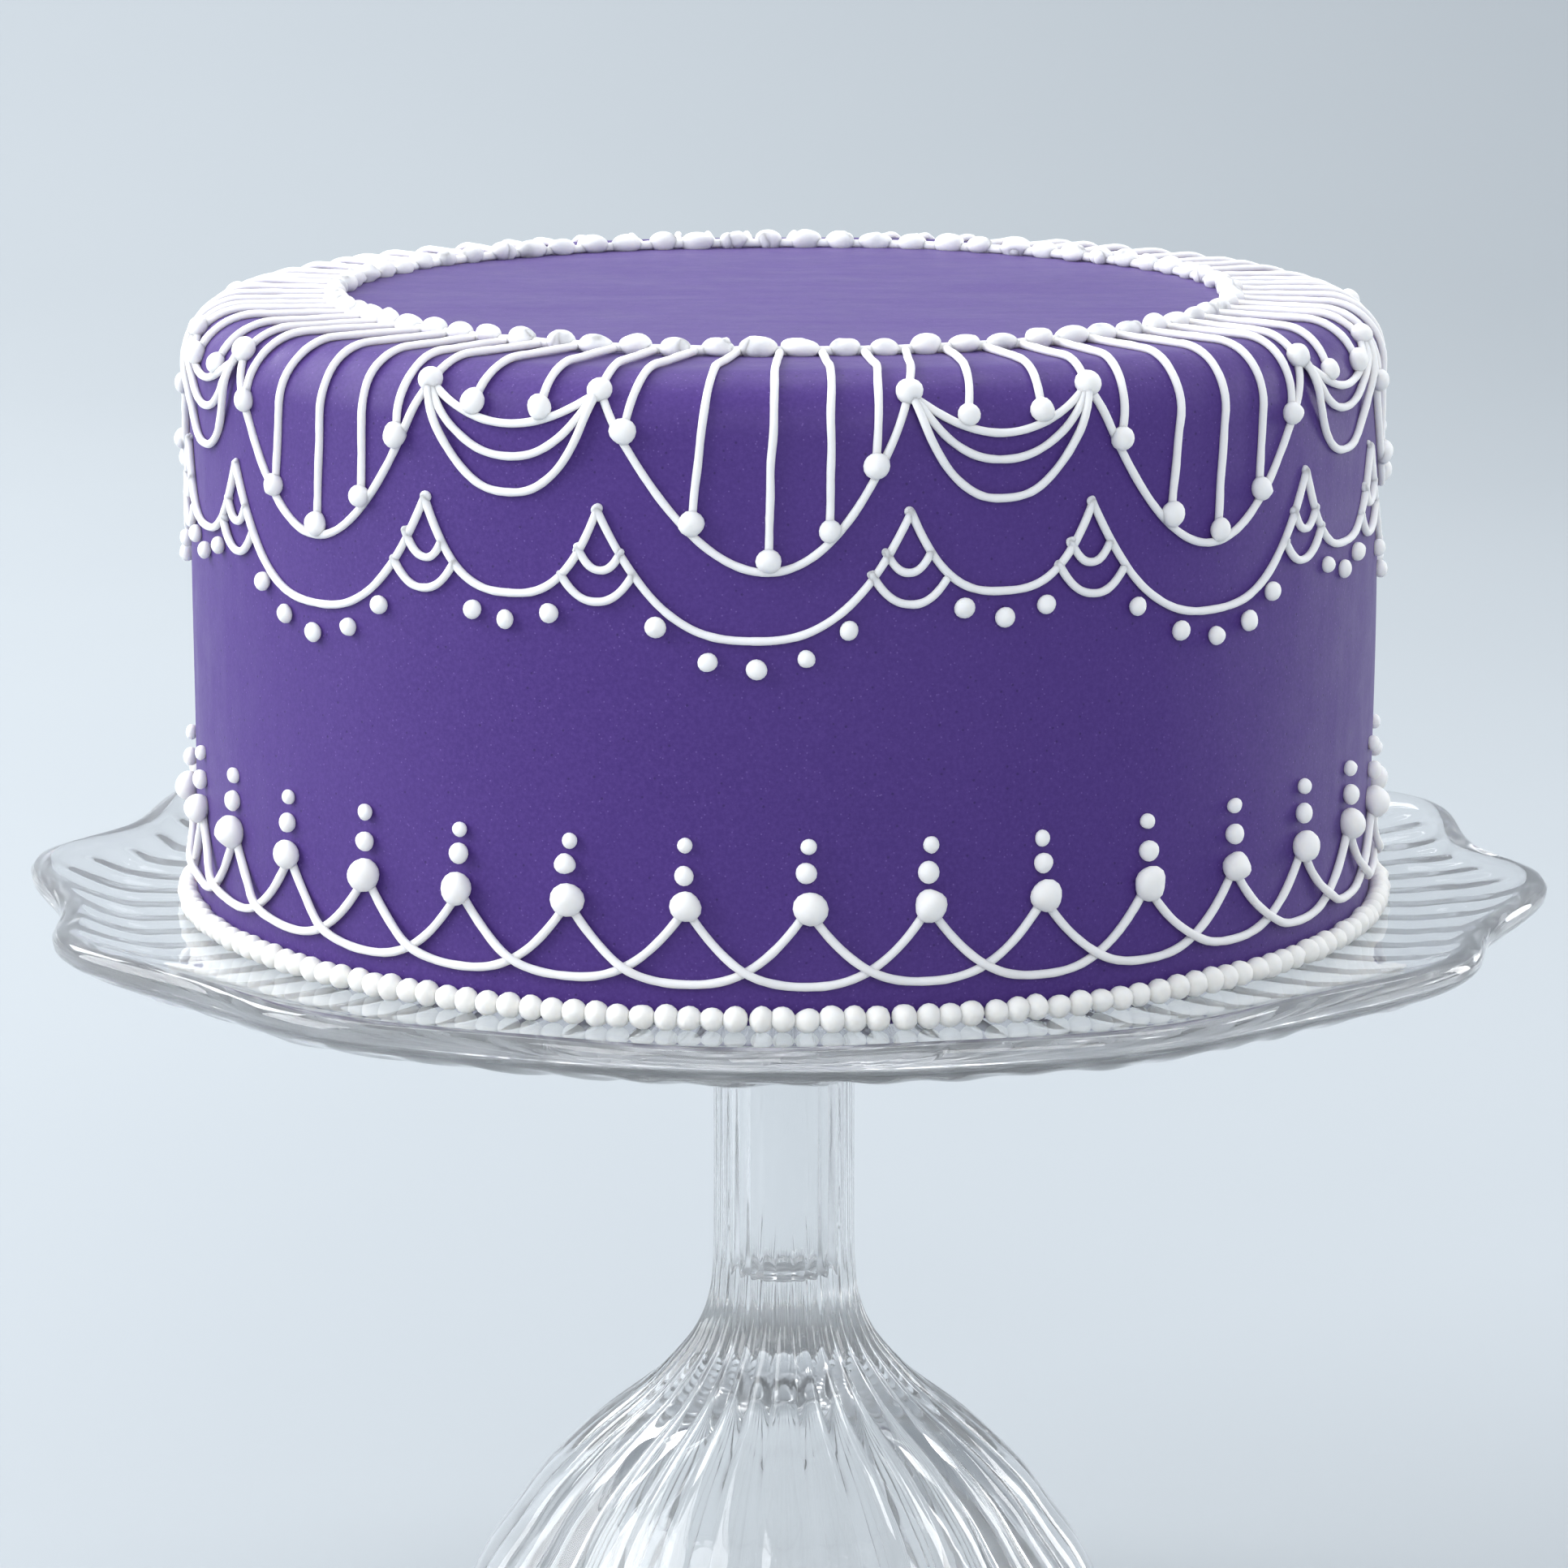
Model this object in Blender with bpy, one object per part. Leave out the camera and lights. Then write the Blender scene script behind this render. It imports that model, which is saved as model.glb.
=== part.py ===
"""Royal-iced celebration cake on a pressed-glass pedestal stand.

Metres, +Z up. The origin is the centre of the foot's underside. Angles are in degrees, counted
from the front (-Y) towards +X. Heights on the cake are counted up from the glass plate.
"""

import math

import bmesh
import bpy
from mathutils import Vector

MM = 0.001
GAP = 0.3 * MM  # between pieces that touch on the real cake

# Stand: one pressing for the plate, one for the pedestal
STAND_HEIGHT = 155 * MM
PLATE_THICKNESS = 6 * MM
PLATE_SEGMENTS = 128  # two to each rib of the underside
RIB_DEPTH = 1.0 * MM
RIB_ENDS = (22 * MM, 110 * MM)  # radii
BOSS_RADIUS = 16 * MM  # of the level ring that stands on the stem
ROUND_RADIUS = 112 * MM  # where the plate begins to turn from round to lobed
RIM_RADIUS = 130.5 * MM
RIM_LIFT = 3.8 * MM
LOBES = 12
LOBE_DEPTH = 3 * MM
LOBE_ANGLE = -4  # of the first lobe's crest
FLUTES = 32
FLUTE_SHARE = 0.022  # of the radius
STEM_RADIUS = 12.6 * MM
STEM_END = 71 * MM  # below the plate's top
STEM_BORE = 8.2 * MM
FOOT_RADIUS = 65 * MM
FOOT_EDGE = 1.5 * MM
BELL_WALL = 5 * MM

# Cake, an 8 inch round and 4 inches high before its coats
CAKE_RADIUS = 104 * MM
CAKE_HEIGHT = 106 * MM
EDGE_RADIUS = 9.75 * MM
EDGE_STEPS = 4
CAKE_SEGMENTS = 64
CORE_SEGMENTS = 32
FONDANT = 3.5 * MM
BUTTERCREAM = 3 * MM
BOARD = 2.5 * MM
FILLING = 4 * MM
SPONGES = 4
CROWN_RADIUS = 68 * MM  # of the level part of the top
CROWN_FALL = 0.2 * MM

# Piping
STRING = 1.35 * MM
STRING_SIDES = 4
REPEATS = 8
TOP_BEAD_RADIUS = 78.3 * MM
TOP_BEAD = 3.2 * MM
TOP_NECK = 1.9 * MM
BASE_BEADS = 172
BASE_BEAD = 3.9 * MM
BASE_NECK = 1.8 * MM
JUNCTION_BEAD = 4.3 * MM
SWAG_BEAD = 3.6 * MM
POST_BEAD = 5.5 * MM

# Garland of swags round the shoulder
DEEP_HALF = 13.9  # degrees
TRIPLE_HALF = 8.6
JUNCTION_HEIGHT = 102.5 * MM
EDGE_LIFT = 0.5 * MM  # keeps the straight stretches of a string clear of the rounded edge
DEEP_LOW = 75 * MM
UPPER_LOW = 97.1 * MM
MIDDLE_LOW = 92 * MM
LOWER_LOW = 85.9 * MM
DEEP_STRINGS = (-9.3, -4.67, 0, 4.67, 9.3)
TRIPLE_STRINGS = (-3.4, 3.4)
MIDDLE_POWER = 2.2  # 2 is a parabola, and more is a rounder U
LOWER_POWER = 2.5
SWAG_END = 0.82  # share of the half span, clear of the junction beads

# Scalloped line under the garland
PEAK_HEIGHT = 84.2 * MM
WIDE_LOW = 63.6 * MM
NARROW_LOW = 70.6 * MM
WIDE_POWER = 2.6
NARROW_POWER = 2.8

# Crossed loops round the foot of the cake
POSTS = 32
POST_HEIGHT = 20 * MM
LOOP_LOW = 7.5 * MM
LOOP_POWER = 2.44
LOOP_STOPS = (-1, -0.88, -0.6, -0.3, 0, 0.3, 0.6, 0.88)  # shares of a loop's half span
LOOP_LIFT = 2.15 * MM  # of the outer ring where it crosses the inner one

PLATE_TOP = STAND_HEIGHT
WALL_TOP = CAKE_HEIGHT - EDGE_RADIUS
ARC_LENGTH = EDGE_RADIUS * math.pi / 2


def clear_scene():
    for obj in list(bpy.data.objects):
        bpy.data.objects.remove(obj, do_unlink=True)


def material(name, colour, roughness, transmission=0.0):
    made = bpy.data.materials.new(name)
    made.use_nodes = True
    shader = made.node_tree.nodes["Principled BSDF"]
    shader.inputs["Base Color"].default_value = (*colour, 1)
    shader.inputs["Roughness"].default_value = roughness
    shader.inputs["Transmission Weight"].default_value = transmission
    made.diffuse_color = (*colour, 1)
    return made


def polar(angle, radius, z):
    turn = math.radians(angle)
    return Vector((radius * math.sin(turn), -radius * math.cos(turn), z))


def add_shell(mesh, rings, looped=False):
    """Adds a closed surface through rings of points: a loop of rings, or a row capped at both ends."""
    rows = [[mesh.verts.new(point) for point in ring] for ring in rings]
    pairs = list(zip(rows, rows[1:] + rows[:1])) if looped else list(zip(rows, rows[1:]))
    for near, far in pairs:
        for i in range(len(near)):
            j = (i + 1) % len(near)
            mesh.faces.new((near[i], near[j], far[j], far[i]))
    if not looped:
        mesh.faces.new(rows[0][::-1])
        mesh.faces.new(rows[-1])


def add_object(name, mesh, look):
    bmesh.ops.recalc_face_normals(mesh, faces=mesh.faces)
    data = bpy.data.meshes.new(name)
    mesh.to_mesh(data)
    mesh.free()
    data.materials.append(look)
    made = bpy.data.objects.new(name, data)
    bpy.context.scene.collection.objects.link(made)
    return made


def solid(name, rings, look, looped=False):
    mesh = bmesh.new()
    add_shell(mesh, rings, looped)
    return add_object(name, mesh, look)


def turned(name, profile, segments, look):
    """A solid of revolution through (radius, height) points, with a flat cap at each end."""
    rings = [[polar(360 * i / segments, radius, z) for i in range(segments)] for radius, z in profile]
    return solid(name, rings, look)


# Stand


def lobed(radius, angle):
    """Radius of the plate at an angle: round inside, scalloped towards the rim."""
    share = max(0.0, (radius - ROUND_RADIUS) / (RIM_RADIUS - ROUND_RADIUS))
    return radius + LOBE_DEPTH * share * math.cos(math.radians(LOBES * (angle - LOBE_ANGLE)))


def plate_ring(radius, drop, rib=0.0):
    """One ring of the plate, `drop` below its top, its alternate points pushed down to form ribs."""
    step = 360 / PLATE_SEGMENTS
    return [
        polar(i * step, lobed(radius, i * step), PLATE_TOP - drop - rib * (i % 2))
        for i in range(PLATE_SEGMENTS)
    ]


def stand_plate(glass):
    under = PLATE_THICKNESS
    rings = [
        plate_ring(ROUND_RADIUS + 2 * MM, 0),
        plate_ring(RIM_RADIUS - 1.6 * MM, -RIM_LIFT),
        plate_ring(RIM_RADIUS + 0.9 * MM, -RIM_LIFT + 0.3 * MM),
        plate_ring(RIM_RADIUS + 1.8 * MM, -1.2 * MM),
        plate_ring(RIM_RADIUS - 1.5 * MM, 2.2 * MM),
        plate_ring(RIB_ENDS[1] + 8 * MM, under - 0.8 * MM),
        plate_ring(RIB_ENDS[1], under, RIB_DEPTH),
        plate_ring(RIB_ENDS[0], under, RIB_DEPTH),
        plate_ring(BOSS_RADIUS, under + RIB_DEPTH),
    ]
    return solid("stand_plate", rings, glass)


def bell_outside():
    """The pedestal's outer profile below the stem, as (radius, depth below the plate's top)."""
    swell = [(13.5, 76), (17.3, 84.2), (23.9, 91.6), (35, 100.6), (43.3, 108.8)]
    skirt = [(53.5, 123.1), (63, 145)]
    return [(radius * MM, depth * MM) for radius, depth in swell + skirt]


def bell_inside():
    """The hollow under the bell: a shallow dome, then the outer profile one wall's thickness in."""
    profile = bell_outside()
    inner = []
    for (r0, d0), (r1, d1), (r2, d2) in zip(profile[2:], profile[3:], profile[4:]):
        along = Vector((r2 - r0, d2 - d0)).normalized()
        inner.append((r1 - along.y * BELL_WALL, d1 + along.x * BELL_WALL))
    return [(10 * MM, 90.5 * MM), (20.5 * MM, 95.8 * MM)] + inner


def pedestal_ring(radius, depth, share):
    count = 2 * FLUTES
    return [
        polar(360 * i / count, radius * (1 + share * (i % 2 - 0.5)), STAND_HEIGHT - depth)
        for i in range(count)
    ]


def stand_pedestal(glass):
    """Fluted stem and bell foot, drilled from above and hollow below."""
    stem_top = PLATE_THICKNESS + RIB_DEPTH + GAP
    foot = [(FOOT_RADIUS, STAND_HEIGHT - FOOT_EDGE), (FOOT_RADIUS - FOOT_EDGE, STAND_HEIGHT)]
    outside = [(STEM_RADIUS, stem_top), (STEM_RADIUS, STEM_END)] + bell_outside()
    inside = [(60 * MM, STAND_HEIGHT)] + bell_inside()[::-1]
    rings = [pedestal_ring(STEM_BORE, STEM_END, 0), pedestal_ring(STEM_BORE, stem_top, 0)]
    rings += [pedestal_ring(radius, depth, FLUTE_SHARE) for radius, depth in outside]
    rings += [pedestal_ring(radius, depth, 0) for radius, depth in foot + inside]
    return solid("stand_pedestal", rings, glass)


# Cake


def shoulder(radius, top, edge):
    """Profile from a flat top over a rounded edge to the wall, as (radius, height above the plate)."""
    turns = [math.pi / 2 * (1 - i / EDGE_STEPS) for i in range(EDGE_STEPS + 1)]
    return [(radius - edge + edge * math.cos(t), top - edge + edge * math.sin(t)) for t in turns]


def raised(profile):
    return [(radius, PLATE_TOP + height) for radius, height in profile]


def disc(name, radius, bottom, thickness, look):
    return turned(name, raised([(radius, bottom + thickness), (radius, bottom)]), CORE_SEGMENTS, look)


def cake_body(board_look, sponge_look, cream_look, fondant_look):
    """Board, sponges and fillings under a coat of buttercream and a cover of rolled fondant."""
    cover_top = CAKE_HEIGHT - CROWN_FALL
    cover_outside = [(CROWN_RADIUS, CAKE_HEIGHT)] + shoulder(CAKE_RADIUS, cover_top, EDGE_RADIUS)
    cover_radius = CAKE_RADIUS - FONDANT
    inner_edge = EDGE_RADIUS - FONDANT
    cover_inside = shoulder(cover_radius, cover_top - FONDANT, inner_edge)
    cover = cover_outside + [(CAKE_RADIUS, GAP), (cover_radius, GAP)] + cover_inside[::-1]
    turned("fondant_cover", raised(cover), CAKE_SEGMENTS, fondant_look)

    coat_radius = cover_radius - GAP
    coat_top = cover_top - FONDANT - GAP
    core_bottom = GAP + BOARD + GAP
    core_radius = coat_radius - BUTTERCREAM
    core_top = coat_top - BUTTERCREAM
    coat = shoulder(coat_radius, coat_top, inner_edge)
    coat += [(coat_radius, core_bottom), (core_radius, core_bottom), (core_radius, core_top)]
    turned("buttercream_coat", raised(coat), CAKE_SEGMENTS, cream_look)
    disc("cake_board", coat_radius, GAP, BOARD, board_look)

    core_radius -= GAP
    core_top -= GAP
    spacing = FILLING + 2 * GAP
    sponge = (core_top - core_bottom - (SPONGES - 1) * spacing) / SPONGES
    for layer in range(SPONGES):
        bottom = core_bottom + layer * (sponge + spacing)
        disc(f"sponge_layer_{layer + 1}", core_radius, bottom, sponge, sponge_look)
        if layer < SPONGES - 1:
            filling_bottom = bottom + sponge + GAP
            disc(f"filling_layer_{layer + 1}", core_radius, filling_bottom, FILLING, cream_look)


# Piping


def skin(angle, travel, away):
    """A point `away` from the cake's skin and the skin's normal there.

    `travel` is the distance along the skin, up the wall from the plate, over the edge and inwards.
    """
    if travel < WALL_TOP:
        turn, inward, height = 0.0, 0.0, travel
    elif travel < WALL_TOP + ARC_LENGTH:
        turn, inward, height = (travel - WALL_TOP) / EDGE_RADIUS, 0.0, WALL_TOP
    else:
        turn, inward, height = math.pi / 2, travel - WALL_TOP - ARC_LENGTH, WALL_TOP
    out = EDGE_RADIUS + away
    radius = CAKE_RADIUS - EDGE_RADIUS - inward + out * math.cos(turn)
    normal = polar(angle, math.cos(turn), math.sin(turn))
    return polar(angle, radius, PLATE_TOP + height + out * math.sin(turn)), normal


def travel_to(height):
    """Distance along the skin at which the skin reaches a height."""
    if height < WALL_TOP:
        return height
    return WALL_TOP + EDGE_RADIUS * math.asin((height - WALL_TOP) / EDGE_RADIUS)


def string_rings(stops):
    """Rings of a piped string through (angle, travel, width, lift) stops, resting on the skin."""
    centres = [skin(angle, travel, GAP + lift + width / 2) for angle, travel, width, lift in stops]
    rings = []
    for i, (centre, normal) in enumerate(centres):
        half = stops[i][2] / 2
        along = centres[min(i + 1, len(stops) - 1)][0] - centres[max(i - 1, 0)][0]
        side = along.cross(normal).normalized()
        up = side.cross(along).normalized()
        turns = [2 * math.pi * k / STRING_SIDES for k in range(STRING_SIDES)]
        rings.append([centre + half * (math.cos(t) * up + math.sin(t) * side) for t in turns])
    return rings


def bead_chain(beads, radius, z, size, neck):
    """Rings of a closed chain whose necks lie at the angles `beads`."""
    stations = []
    for angle, following in zip(beads, beads[1:] + [beads[0] + 360]):
        stations += [(angle, neck / 2), ((angle + following) / 2, size / 2)]
    rings = []
    for angle, half in stations:
        outward = polar(angle, half, 0)
        upward = Vector((0, 0, half))
        centre = polar(angle, radius, z)
        rings.append([centre + outward, centre + upward, centre - outward, centre - upward])
    return rings


def garland_mark(angle):
    """Where the mark for an even angle fell: a little off, and unevenly so round the cake."""
    return angle - 2.7 - 0.3 * math.sin(math.radians(angle))


def lattice_mark(angle):
    return angle + 2.1 - 2.4 * math.sin(math.radians(angle))


def sag(share, low, high, power=2):
    """Height of a swag at a share (-1 to 1) of its half span: a parabola, or a rounder U at a higher power."""
    return low + (high - low) * abs(share) ** power


def spread(first, last, steps):
    return [first + (last - first) * i / steps for i in range(steps + 1)]


def garland(index, icing):
    """A deep swag between halves of two shallow ones, swelling into a bead at each junction."""
    centre = 360 / REPEATS * index
    top = travel_to(JUNCTION_HEIGHT)
    cut = math.degrees(GAP / 2 / CAKE_RADIUS) / TRIPLE_HALF
    bead = JUNCTION_BEAD / 2 / CAKE_RADIUS
    deep_end = 1 - math.degrees(bead) / DEEP_HALF
    shallow_end = 1 - math.degrees(bead) / TRIPLE_HALF
    stops = []
    for side in (-1, 1):
        middle = centre + side * 180 / REPEATS
        shallow = [
            (garland_mark(middle - side * u * TRIPLE_HALF), sag(u, UPPER_LOW, top), STRING, EDGE_LIFT)
            for u in spread(cut, shallow_end, 4)
        ]
        junction = (garland_mark(centre + side * DEEP_HALF), top, JUNCTION_BEAD, EDGE_LIFT)
        deep = [
            (garland_mark(centre + u * DEEP_HALF), sag(u, DEEP_LOW, top), STRING, EDGE_LIFT)
            for u in spread(-deep_end, deep_end, 8)
        ]
        stops += shallow + [junction] + deep if side < 0 else [junction] + shallow[::-1]
    return solid(f"garland_{index + 1}", string_rings(stops), icing)


def under_swags(index, icing):
    """The two lower strings of a triple swag, climbing over the one above near the junctions."""
    middle = 360 / REPEATS * (index + 0.5)
    top = travel_to(JUNCTION_HEIGHT)
    swags = (("middle_swag", MIDDLE_LOW, MIDDLE_POWER), ("lower_swag", LOWER_LOW, LOWER_POWER))
    for layer, (name, low, power) in enumerate(swags, 1):
        climb = layer * (STRING + GAP)
        stops = [
            (garland_mark(middle + u * TRIPLE_HALF), sag(u, low, top, power), STRING,
             EDGE_LIFT + climb * min(1, (u / 0.6) ** 2))
            for u in spread(-SWAG_END, SWAG_END, 8)
        ]
        solid(f"{name}_{index + 1}", string_rings(stops), icing)


def scallop(index, icing):
    """A wide scallop between halves of two narrow ones."""
    centre = 360 / REPEATS * index
    cut = math.degrees(GAP / 2 / CAKE_RADIUS) / TRIPLE_HALF
    narrow = [(u, sag(u, NARROW_LOW, PEAK_HEIGHT, NARROW_POWER)) for u in spread(cut, 1, 4)]
    before = centre - 180 / REPEATS
    after = centre + 180 / REPEATS
    stops = [(before + u * TRIPLE_HALF, height) for u, height in narrow[:-1]]
    wide = [(u, sag(u, WIDE_LOW, PEAK_HEIGHT, WIDE_POWER)) for u in spread(-1, 1, 8)]
    stops += [(centre + u * DEEP_HALF, height) for u, height in wide]
    stops += [(after - u * TRIPLE_HALF, height) for u, height in narrow[-2::-1]]
    rings = string_rings([(garland_mark(angle), height, STRING, 0) for angle, height in stops])
    return solid(f"scallop_{index + 1}", rings, icing)


def base_loops(name, first_post, lift, icing):
    """A ring of loops from every second post, lifted over the other ring where they cross."""
    step = 360 / POSTS
    stops = []
    for post in range(first_post, POSTS, 2):
        for u in LOOP_STOPS:
            travel = LOOP_LOW + (POST_HEIGHT - LOOP_LOW) * abs(u) ** LOOP_POWER
            width = POST_BEAD if u == -1 else STRING
            over = lift * math.sin(math.pi * u) ** 2
            stops.append((lattice_mark((post + 1 + u) * step), travel, width, over))
    rings = string_rings(stops[-1:] + stops + stops[:1])[1:-1]
    return solid(name, rings, icing, looped=True)


def above_swag(offset, half_span, low, high):
    """Height of a bead that just clears a parabolic swag, `offset` degrees from the swag's middle."""
    share = offset / half_span
    slope = 2 * (high - low) * share / (CAKE_RADIUS * math.radians(half_span))
    clearance = (SWAG_BEAD + STRING) / 2 + 2 * GAP
    return sag(share, low, high) + clearance * math.hypot(1, slope)


def drops():
    """(angle, travel of the end, whether a bead ends it) of every string, in order of angle."""
    top = travel_to(JUNCTION_HEIGHT)
    found = []
    for index in range(REPEATS):
        centre = 360 / REPEATS * index
        middle = centre + 180 / REPEATS
        for offset in (-DEEP_HALF, DEEP_HALF):
            found.append((centre + offset, top + JUNCTION_BEAD / 2 + 2 * GAP, False))
        for offset in DEEP_STRINGS:
            end = above_swag(offset, DEEP_HALF, DEEP_LOW, top)
            found.append((centre + offset, end, True))
        for offset in TRIPLE_STRINGS:
            end = above_swag(offset, TRIPLE_HALF, UPPER_LOW, top)
            found.append((middle + offset, end, True))
    return sorted((garland_mark(angle), travel, beaded) for angle, travel, beaded in found)


def top_border(icing):
    """The top's ring of beads, joined to the strings that run from it over the edge."""
    start = WALL_TOP + ARC_LENGTH + CAKE_RADIUS - EDGE_RADIUS - TOP_BEAD_RADIUS
    edge = spread(WALL_TOP + ARC_LENGTH, WALL_TOP, 3)
    strings = bmesh.new()
    for angle, end, beaded in drops():
        half = SWAG_BEAD / 2 if beaded else 0
        stops = [start] + [travel for travel in edge if travel > end + 1.5 * half]
        line = [(angle, travel, STRING, EDGE_LIFT) for travel in stops + [end + half]]
        if beaded:
            line += [(angle, end, SWAG_BEAD, 0), (angle, end - half, STRING, 0)]
        add_shell(strings, string_rings(line))
    helper = add_object("strings", strings, icing)
    helper.hide_render = True
    helper.display_type = "WIRE"

    necks = [angle for angle, _, _ in drops()]
    z = PLATE_TOP + CAKE_HEIGHT + GAP + TOP_BEAD / 2
    border = solid(
        "top_border_and_strings",
        bead_chain(necks, TOP_BEAD_RADIUS, z, TOP_BEAD, TOP_NECK), icing, looped=True,
    )
    union = border.modifiers.new("union", "BOOLEAN")
    union.operation = "UNION"
    union.solver = "EXACT"
    union.object = helper


def base_border(icing):
    necks = [360 * i / BASE_BEADS for i in range(BASE_BEADS)]
    radius = CAKE_RADIUS + GAP + BASE_BEAD / 2
    z = PLATE_TOP + GAP + BASE_BEAD / 2
    rings = bead_chain(necks, radius, z, BASE_BEAD, BASE_NECK)
    solid("base_bead_border", rings, icing, looped=True)


def piping(icing):
    top_border(icing)
    base_border(icing)
    base_loops("base_loops_inner", 0, 0, icing)
    base_loops("base_loops_outer", 1, LOOP_LIFT, icing)
    for index in range(REPEATS):
        garland(index, icing)
        under_swags(index, icing)
        scallop(index, icing)


def main():
    clear_scene()
    glass = material("glass", (0.93, 0.95, 0.96), 0.03, transmission=1.0)
    stand_plate(glass)
    stand_pedestal(glass)
    cake_body(
        material("board", (0.78, 0.78, 0.76), 0.35),
        material("sponge", (0.86, 0.66, 0.36), 0.9),
        material("cream", (0.93, 0.88, 0.76), 0.6),
        material("fondant", (0.13, 0.04, 0.32), 0.5),
    )
    piping(material("icing", (0.86, 0.85, 0.81), 0.6))


main()
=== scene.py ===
"""Looks of the iced cake on its glass stand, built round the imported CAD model. Metres, in the CAD's frame.

Angles are in degrees, counted from the front (-Y) towards +X. `travel` is the distance along the cake's
skin: up the wall from the plate, over the rounded edge and inwards across the top.
"""
import math

import bpy
import numpy as np
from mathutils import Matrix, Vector


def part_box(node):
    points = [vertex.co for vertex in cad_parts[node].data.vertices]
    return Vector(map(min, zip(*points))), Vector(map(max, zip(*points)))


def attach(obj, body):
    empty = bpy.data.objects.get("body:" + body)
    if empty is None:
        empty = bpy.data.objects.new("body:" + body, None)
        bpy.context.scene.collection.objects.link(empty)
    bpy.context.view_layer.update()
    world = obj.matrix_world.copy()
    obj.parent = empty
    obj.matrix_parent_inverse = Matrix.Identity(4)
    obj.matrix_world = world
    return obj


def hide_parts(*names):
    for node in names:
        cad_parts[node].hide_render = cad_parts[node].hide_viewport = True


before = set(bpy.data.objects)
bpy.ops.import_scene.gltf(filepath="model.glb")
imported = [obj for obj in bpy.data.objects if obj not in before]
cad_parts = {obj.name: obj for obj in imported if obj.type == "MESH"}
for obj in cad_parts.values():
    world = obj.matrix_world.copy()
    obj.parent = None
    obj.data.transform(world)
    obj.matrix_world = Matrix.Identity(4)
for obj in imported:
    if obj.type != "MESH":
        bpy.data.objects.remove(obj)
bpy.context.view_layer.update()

MM = 0.001
rng = np.random.default_rng(8)

# Driving sizes, from the CAD nodes' boxes
COVER_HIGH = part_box("fondant_cover")[1]
PLATE_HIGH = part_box("stand_plate")[1]
PLATE_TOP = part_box("cake_board")[0][2] - 0.3 * MM
CAKE_RADIUS = COVER_HIGH[0]
CAKE_TOP = COVER_HIGH[2] - PLATE_TOP
EDGE_RADIUS = 9.75 * MM
WALL_TOP = CAKE_TOP - EDGE_RADIUS
ARC = EDGE_RADIUS * math.pi / 2
FONDANT = 3.5 * MM

# Stand
LOBES = 12
LOBE_DEPTH = 3 * MM
LOBE_ANGLE = -4
ROUND_RADIUS = 112 * MM
RIM_RADIUS = PLATE_HIGH[0] - 4.8 * MM
RIBS = 64
RIB_DEPTH = 0.8 * MM
HOOK_DEPTH = 0.25 * MM  # of the swirled waves outside the ribs
FLUTES = 32
FLUTE_SHARE = 0.03  # of the radius
FOOT_DEPTH = 155 * MM  # below the plate's top
PLATE_STEP = 1.8 * MM  # between rows of the mesh
PEDESTAL_STEP = 1.6 * MM

# Piping
STRING = 1.35 * MM
REPEATS = 8
RING_BEADS = 72
RING_RADIUS = 78.3 * MM
RING_PHASE = -0.5
DEEP_HALF = 13.9
TRIPLE_HALF = 8.6
JUNCTION_TRAVEL = 103 * MM
DEEP_LOW = 75 * MM
TRIPLE_SWAGS = ((97.1 * MM, 2.0), (92 * MM, 2.2), (85.9 * MM, 2.5))  # lowest height, power of the curve
PEAK = 84.2 * MM
WIDE_LOW = 63.6 * MM
NARROW_LOW = 70.6 * MM
WIDE_POWER = 2.6
NARROW_POWER = 2.8
PEAK_LOOPS = ((1.95, 77.7 * MM, 74.5 * MM), (3.3, 73.7 * MM, 69.4 * MM))  # half span, ends, lowest
POSTS = 32
POST_HEIGHT = 20 * MM
LOOP_LOW = 7.5 * MM
LOOP_POWER = 2.44
CROSSING_LIFT = 1.0 * MM
BASE_BEADS = 172
BEAD_GAP = 0.03 * MM  # over the glass
PIPE_SIDES = 10
FRONT_STRINGS = (-11.2, -5.4, 1.6, 7.0, 10.7)  # degrees from the middle of the deep swag
OTHER_STRINGS = (-11.2, -5.8, 0.4, 6.4, 10.9)
TRIPLE_STRINGS = (-3.4, 3.4)
WIDE_DOTS = (-8.6, -4.4, 0.1, 4.5, 8.5)
NARROW_DOTS = (-4, 0, 4)
JUNCTION_BEAD = 4.4 * MM
STRING_BEAD = 4.05 * MM
TRIPLE_BEAD = 4.0 * MM
BEAD_RISE = 1.9 * MM  # of a string's end over the swag
DOT = 3.15 * MM
DOT_DROP = 4.2 * MM
POST_BEAD = 5.5 * MM
POST_DOTS = ((25.7 * MM, 3.4 * MM), (30.4 * MM, 2.65 * MM))  # height, size
PEAK_BEAD = 1.55 * MM
LOOP_BEAD = 1.7 * MM

# Stage
LENS = 134.34
CAMERA_AT = (0, -1.0195, PLATE_TOP + 0.2301)
CAMERA_TILT = 11.70  # degrees down
DAYLIGHT = (0.97, 0.985, 1.0)
WHITE = (1, 1, 1)
LIGHTS = (  # name, place, aim, size, power, colour
    ("window", (-1.6, -0.15, 1.05), (0, 0, 0.2), (1.7, 1.4), 37, DAYLIGHT),
    ("back_window", (-1.2, 1.1, 1.3), (0, 0, 0.2), (0.55, 0.8), 12, DAYLIGHT),
    ("overhead", (0.1, 0.6, 1.7), (0, 0, 0.25), (1.6, 0.8), 12, WHITE),
    ("front_fill", (0.3, -1.9, 1.2), (0, 0, 0.2), (1.0, 1.0), 12, WHITE),
    ("side_card", (1.25, 0.65, 0.5), (0, 0, 0.15), (0.4, 0.9), 7, WHITE),
    ("wall_wash", (-0.9, 1.5, 1.4), (-0.5, 2.7, 0.1), (1.4, 0.6), 16, WHITE),
)
SKY = (0.86, 0.92, 1.0, 1)
SKY_STRENGTH = 0.70
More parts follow.
